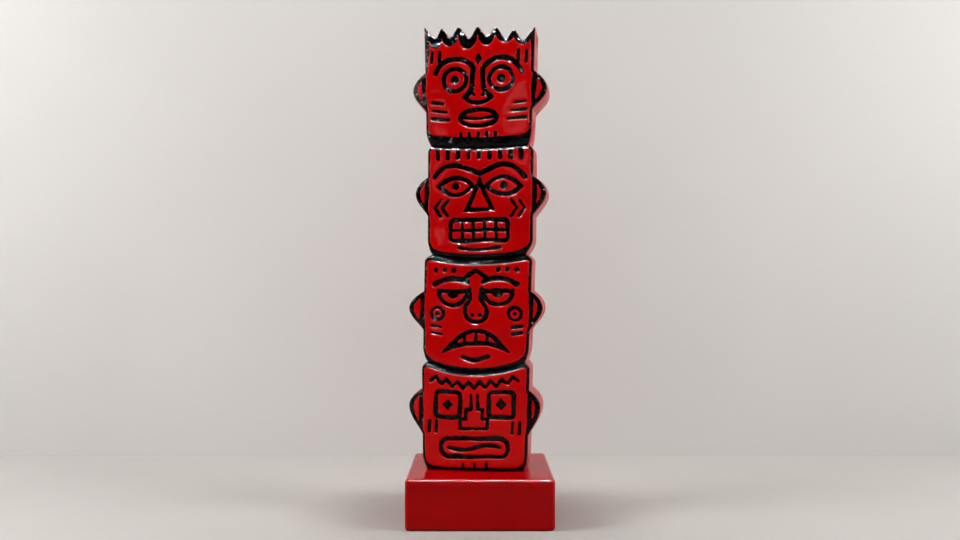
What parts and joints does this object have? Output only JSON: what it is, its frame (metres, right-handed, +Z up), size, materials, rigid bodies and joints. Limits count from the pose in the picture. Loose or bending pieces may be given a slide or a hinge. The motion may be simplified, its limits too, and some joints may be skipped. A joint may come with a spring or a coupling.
{
  "type": "totem sculpture",
  "caption": "Upright totem of stacked carved mask heads with round ears and a spiked crown, in red and black lacquer, standing on a square plinth.",
  "frame": {"origin": "centre of the plinth's underside", "axes": "+Z up along the stack, -Y out of the plinth's front, +X to the right of someone who looks at the faces"},
  "size_m": [0.301, 0.3, 1.031],
  "materials": {
    "carved_lacquer": "gloss red lacquer, with the carved ground in gloss black",
    "plinth_lacquer": "gloss red lacquer"
  },
  "bodies": {
    "root": {"totem_body": "carved_lacquer", "plinth": "plinth_lacquer"}
  },
  "joints": []
}
